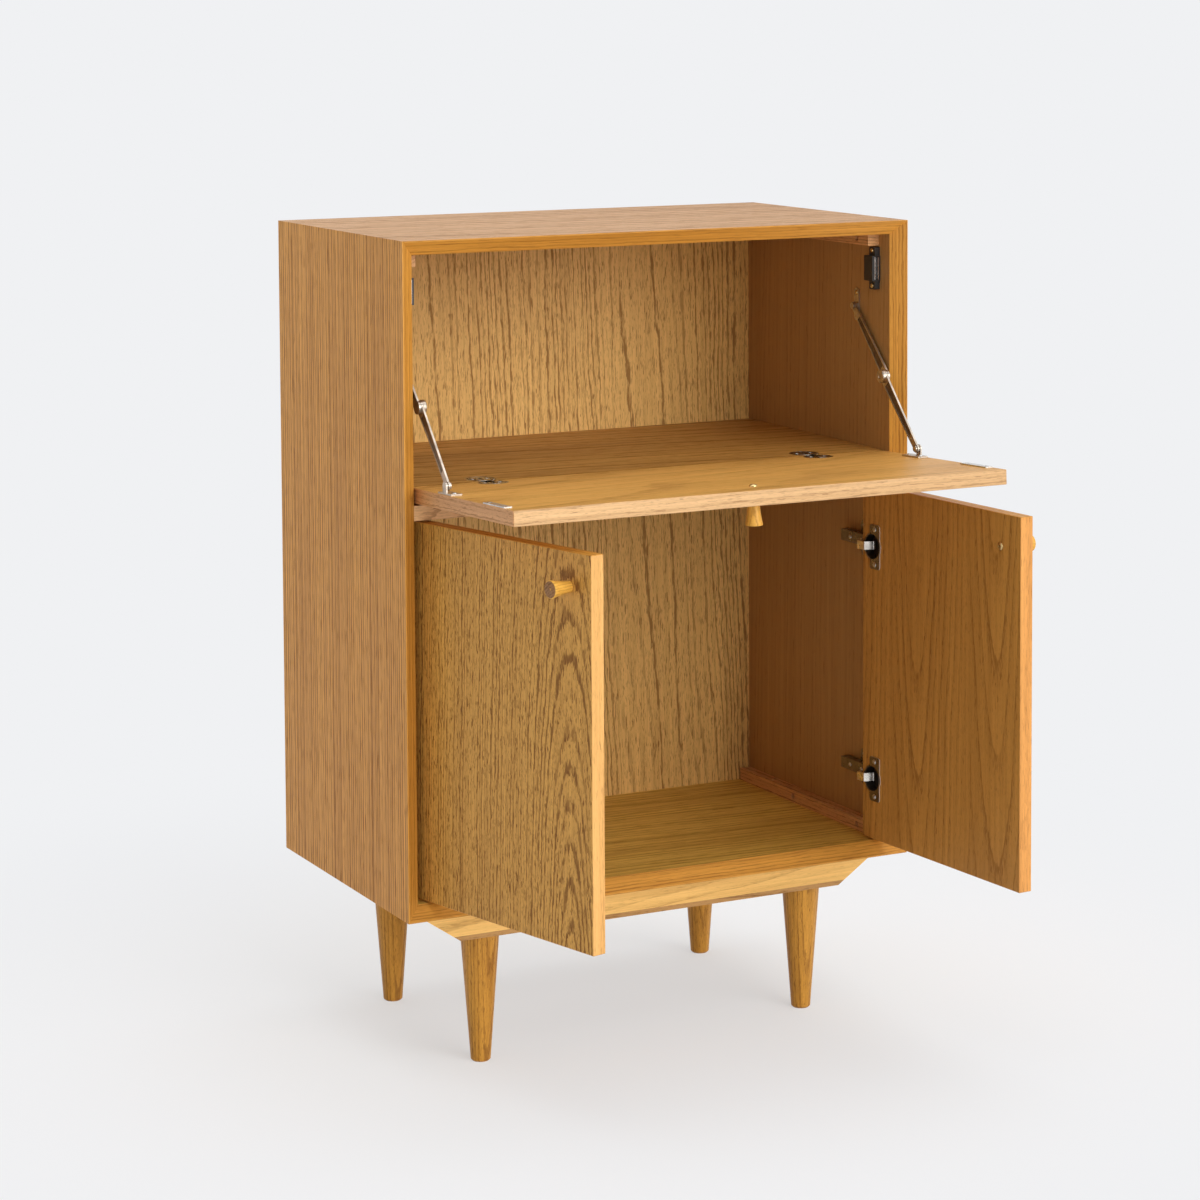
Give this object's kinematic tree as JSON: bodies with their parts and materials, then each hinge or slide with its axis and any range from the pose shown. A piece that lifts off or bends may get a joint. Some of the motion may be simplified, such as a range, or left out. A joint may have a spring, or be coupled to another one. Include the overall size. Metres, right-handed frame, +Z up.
{
  "type": "bar cabinet",
  "caption": "Oak bar cabinet on tapered legs: a drop flap on folding stays opens into a bar shelf above doors on concealed hinges.",
  "frame": {"origin": "on the floor under the middle of the case", "axes": "+X to the right as one faces the cabinet, +Y to the back, +Z up"},
  "size_m": [0.7111, 0.6921, 1.01],
  "materials": {
    "case_side_wood": "satin lacquered oak veneer, upright grain",
    "case_top_wood": "satin lacquered oak veneer, grain along the width",
    "back_wood": "satin lacquered flat-sawn oak veneer",
    "shelf_wood": "satin lacquered oak veneer",
    "flap_wood": "satin lacquered oak veneer",
    "door_wood": "satin lacquered flat-sawn oak veneer, upright grain",
    "batten_wood": "satin lacquered hardwood",
    "plinth_wood": "satin lacquered oak",
    "leg_wood": "satin lacquered turned oak",
    "knob_wood": "satin lacquered turned oak",
    "nickel_hinge": "nickel plated",
    "stay_steel": "nickel plated pressed steel",
    "plated_steel": "bright plated",
    "brass_screw": "bright brass",
    "catch_plastic": "black moulded",
    "magnet_black": "dark ferrite"
  },
  "bodies": {
    "case": {"back_left_leg": "leg_wood", "back_panel": "back_wood", "back_right_leg": "leg_wood", "bottom_left_cleat": "batten_wood", "bottom_panel": "case_top_wood", "bottom_right_cleat": "batten_wood", "catch_magnets": "magnet_black", "catch_pole_plates": "plated_steel", "door_hinge_arms": "nickel_hinge", "door_hinge_plates": "nickel_hinge", "fixed_shelf": "shelf_wood", "flap_hinge_shelf_cups": "nickel_hinge", "front_left_leg": "leg_wood", "front_right_leg": "leg_wood", "left_side_panel": "case_side_wood", "leg_bolts": "plated_steel", "magnet_catches": "catch_plastic", "plinth_back_rail": "plinth_wood", "plinth_bottom_board": "plinth_wood", "plinth_corner_blocks": "plinth_wood", "plinth_front_rail": "plinth_wood", "plinth_left_rail": "plinth_wood", "plinth_right_rail": "plinth_wood", "right_side_panel": "case_side_wood", "shelf_front_rail": "shelf_wood", "stay_wall_brackets": "stay_steel", "top_left_cleat": "batten_wood", "top_panel": "case_top_wood", "top_right_cleat": "batten_wood"},
    "flap": {"flap_panel": "flap_wood", "flap_knob": "knob_wood", "flap_knob_screw": "brass_screw", "flap_hinge_flap_cups": "nickel_hinge", "flap_hinge_pins": "plated_steel", "strike_plates": "plated_steel", "stay_feet": "stay_steel"},
    "left_door": {"left_door_panel": "door_wood", "left_door_knob": "knob_wood", "left_door_knob_screw": "brass_screw", "left_door_hinge_cups": "nickel_hinge"},
    "left_door_links": {"left_door_hinge_links": "nickel_hinge"},
    "left_upper_arm": {"left_stay_upper_arm": "stay_steel"},
    "left_lower_arm": {"left_stay_lower_arm": "stay_steel", "left_stay_elbow_rivet": "stay_steel"},
    "right_door": {"right_door_panel": "door_wood", "right_door_knob": "knob_wood", "right_door_knob_screw": "brass_screw", "right_door_hinge_cups": "nickel_hinge"},
    "right_door_links": {"right_door_hinge_links": "nickel_hinge"},
    "right_upper_arm": {"right_stay_upper_arm": "stay_steel"},
    "right_lower_arm": {"right_stay_lower_arm": "stay_steel", "right_stay_elbow_rivet": "stay_steel"}
  },
  "joints": [
    {"name": "flap_hinge", "type": "hinge", "parent": "case", "child": "flap", "pos_m": [0, -0.1755, 0.707], "axis": [-1, 0, 0], "range_deg": [0, 87.6]},
    {"name": "left_stay_wall_pivot", "type": "hinge", "parent": "case", "child": "left_upper_arm", "pos_m": [-0.321, -0.1073, 0.8951], "axis": [1, 0, 0], "range_deg": [0, 78.34]},
    {"name": "left_stay_foot_pivot", "type": "hinge", "parent": "flap", "child": "left_lower_arm", "pos_m": [-0.321, -0.26493, 0.72976], "axis": [1, 0, 0], "range_deg": [0, 43.21]},
    {"name": "left_door_hinge", "type": "hinge", "parent": "case", "child": "left_door", "pos_m": [-0.313, -0.18, 0.448], "axis": [0, 0, 1], "range_deg": [-24, 76]},
    {"name": "left_door_link_pivot", "type": "hinge", "parent": "case", "child": "left_door_links", "pos_m": [-0.3194, -0.1591, 0.448], "axis": [0, 0, 1], "range_deg": [-9.65, 30.45]},
    {"name": "right_stay_wall_pivot", "type": "hinge", "parent": "case", "child": "right_upper_arm", "pos_m": [0.321, -0.1073, 0.8951], "axis": [1, 0, 0], "range_deg": [0, 78.34]},
    {"name": "right_stay_foot_pivot", "type": "hinge", "parent": "flap", "child": "right_lower_arm", "pos_m": [0.321, -0.26493, 0.72976], "axis": [1, 0, 0], "range_deg": [0, 43.21]},
    {"name": "right_door_hinge", "type": "hinge", "parent": "case", "child": "right_door", "pos_m": [0.313, -0.18, 0.448], "axis": [0, 0, 1], "range_deg": [-94.2, 5.8]},
    {"name": "right_door_link_pivot", "type": "hinge", "parent": "case", "child": "right_door_links", "pos_m": [0.3194, -0.1591, 0.448], "axis": [0, 0, 1], "range_deg": [-37.73, 2.37]}
  ],
  "couplings": [
    {"joint": "left_stay_wall_pivot", "follows": "flap_hinge", "ratio": 0.89372},
    {"joint": "left_stay_foot_pivot", "follows": "flap_hinge", "ratio": 0.49274},
    {"joint": "left_door_link_pivot", "follows": "left_door_hinge", "ratio": 0.4},
    {"joint": "right_stay_wall_pivot", "follows": "flap_hinge", "ratio": 0.89372},
    {"joint": "right_stay_foot_pivot", "follows": "flap_hinge", "ratio": 0.49274},
    {"joint": "right_door_link_pivot", "follows": "right_door_hinge", "ratio": 0.4}
  ]
}
